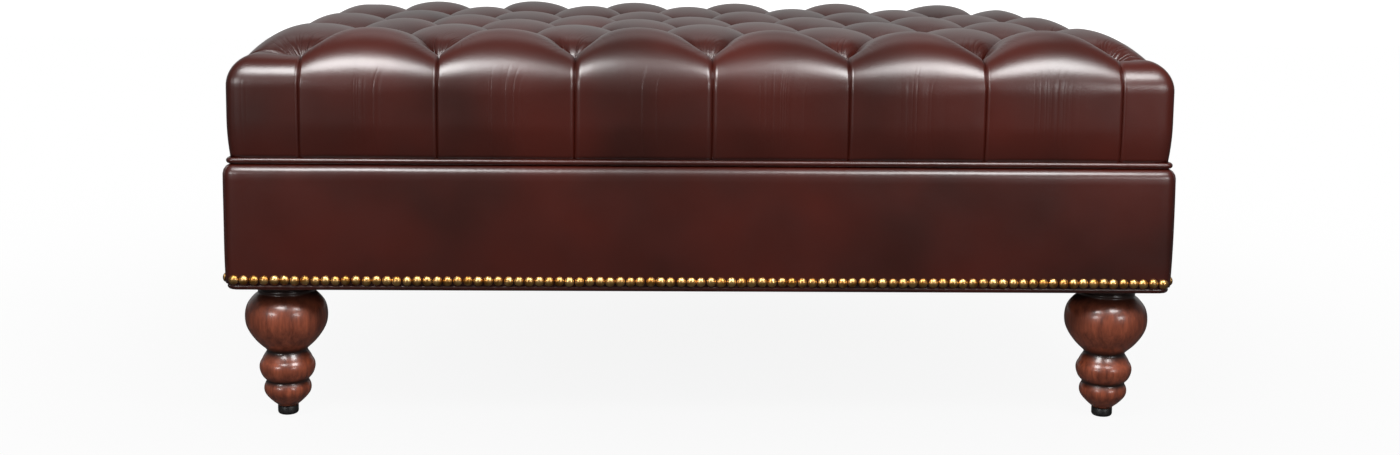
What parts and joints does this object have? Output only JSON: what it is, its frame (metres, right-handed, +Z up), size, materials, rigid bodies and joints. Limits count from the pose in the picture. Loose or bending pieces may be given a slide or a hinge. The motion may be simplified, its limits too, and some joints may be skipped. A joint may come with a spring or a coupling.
{
  "type": "ottoman coffee table",
  "caption": "Rectangular upholstered ottoman used as a coffee table: deep diamond-tufted leather cushion on a leather-covered box with dome nails and turned bun legs.",
  "frame": {"origin": "on the floor, midway between the four legs, below the middle of the box", "axes": "+Z up, +X along the long side to the right as seen from the front, and the front faces -Y"},
  "size_m": [1.2288, 0.9248, 0.504],
  "materials": {
    "cushion_leather": "satin",
    "apron_leather": "satin",
    "welt_leather": "satin",
    "nail_brass": "satin",
    "stained_wood": "gloss",
    "frame_wood": "matte",
    "deck_plywood": "matte",
    "foam": "matte",
    "wadding_fibre": "matte",
    "dust_cloth": "matte",
    "twine": "matte",
    "zinc_steel": "satin",
    "glide_plastic": "matte"
  },
  "bodies": {
    "ottoman": {"deck_board": "deck_plywood", "deck_screws": "zinc_steel", "dust_cover": "dust_cloth", "dust_cover_staples": "zinc_steel", "foam_pad": "foam", "foot_inserts": "zinc_steel", "frame_screws": "zinc_steel", "front_apron_leather": "apron_leather", "front_apron_padding": "wadding_fibre", "front_bottom_welt": "welt_leather", "front_cushion_welt": "welt_leather", "front_left_corner_block": "frame_wood", "front_left_leg": "stained_wood", "front_nails": "nail_brass", "front_rail": "frame_wood", "front_right_corner_block": "frame_wood", "front_right_leg": "stained_wood", "hanger_bolts": "zinc_steel", "left_apron_leather": "apron_leather", "left_apron_padding": "wadding_fibre", "left_bottom_welt": "welt_leather", "left_cleat": "frame_wood", "left_cross_rail": "frame_wood", "left_cushion_welt": "welt_leather", "left_nails": "nail_brass", "left_rail": "frame_wood", "leg_t_nuts": "zinc_steel", "rear_apron_leather": "apron_leather", "rear_apron_padding": "wadding_fibre", "rear_bottom_welt": "welt_leather", "rear_cushion_welt": "welt_leather", "rear_left_corner_block": "frame_wood", "rear_left_leg": "stained_wood", "rear_nails": "nail_brass", "rear_rail": "frame_wood", "rear_right_corner_block": "frame_wood", "rear_right_leg": "stained_wood", "right_apron_leather": "apron_leather", "right_apron_padding": "wadding_fibre", "right_bottom_welt": "welt_leather", "right_cleat": "frame_wood", "right_cross_rail": "frame_wood", "right_cushion_welt": "welt_leather", "right_nails": "nail_brass", "right_rail": "frame_wood", "tie_washers": "zinc_steel", "tuft_buttons": "cushion_leather", "tufted_cover": "cushion_leather", "tufting_twine": "twine", "wadding": "wadding_fibre"},
    "front_left_glide": {"front_left_glide_base": "glide_plastic", "front_left_glide_stem": "zinc_steel"},
    "front_right_glide": {"front_right_glide_base": "glide_plastic", "front_right_glide_stem": "zinc_steel"},
    "rear_left_glide": {"rear_left_glide_base": "glide_plastic", "rear_left_glide_stem": "zinc_steel"},
    "rear_right_glide": {"rear_right_glide_base": "glide_plastic", "rear_right_glide_stem": "zinc_steel"}
  },
  "joints": [
    {"name": "front_left_glide_level", "type": "slide", "parent": "ottoman", "child": "front_left_glide", "axis": [0, 0, -1], "range_m": [0, 0.01]},
    {"name": "front_right_glide_level", "type": "slide", "parent": "ottoman", "child": "front_right_glide", "axis": [0, 0, -1], "range_m": [0, 0.01]},
    {"name": "rear_left_glide_level", "type": "slide", "parent": "ottoman", "child": "rear_left_glide", "axis": [0, 0, -1], "range_m": [0, 0.01]},
    {"name": "rear_right_glide_level", "type": "slide", "parent": "ottoman", "child": "rear_right_glide", "axis": [0, 0, -1], "range_m": [0, 0.01]}
  ]
}
